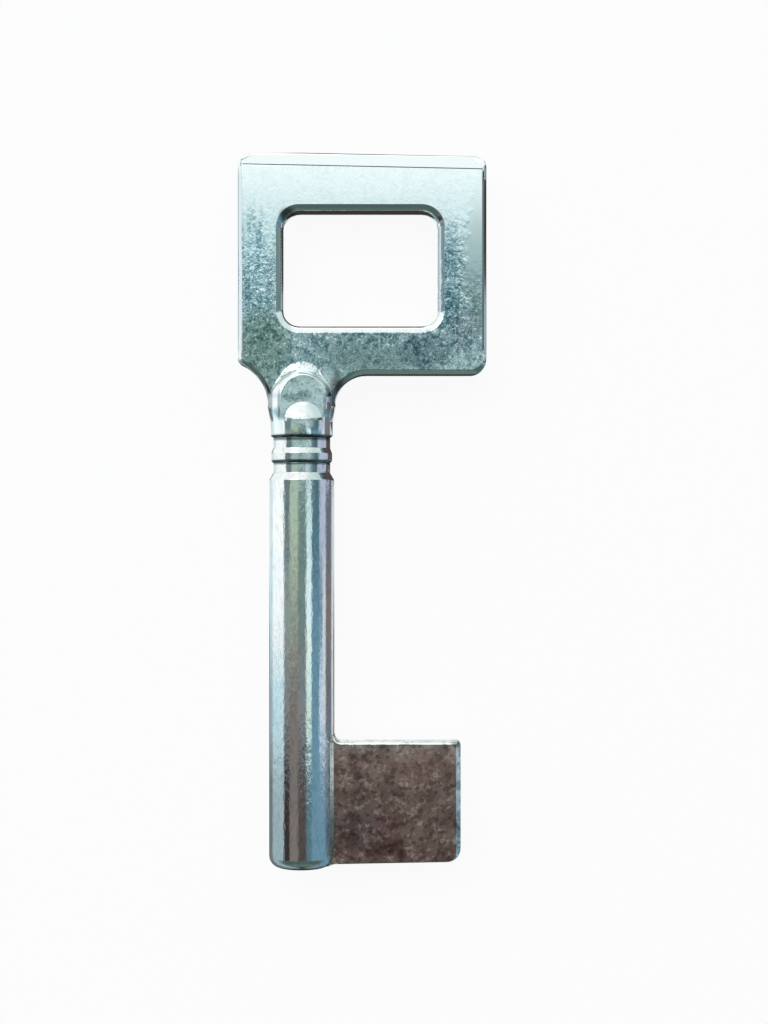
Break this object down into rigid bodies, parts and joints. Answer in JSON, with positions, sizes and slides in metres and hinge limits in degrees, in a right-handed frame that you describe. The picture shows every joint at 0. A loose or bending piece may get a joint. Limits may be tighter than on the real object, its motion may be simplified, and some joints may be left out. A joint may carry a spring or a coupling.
{
  "type": "blank bit key",
  "caption": "Blank bit key with a square frame bow offset from a grooved neck, a plain round shank and an uncut flag bit.",
  "frame": {"origin": "centre of the shank's end face, on the shank's axis", "axes": "+Y along the shank from its free end to the bow, +X towards the bit, +Z out of the bow's face"},
  "size_m": [0.0247, 0.0712, 0.0064],
  "materials": {
    "cast_bow": "satin",
    "turned_metal": "polished",
    "bit_metal": "satin",
    "braze_metal": "gloss"
  },
  "bodies": {
    "root": {"bow": "cast_bow", "collar": "turned_metal", "shank": "turned_metal", "bit": "bit_metal", "bit_braze": "braze_metal"}
  },
  "joints": []
}
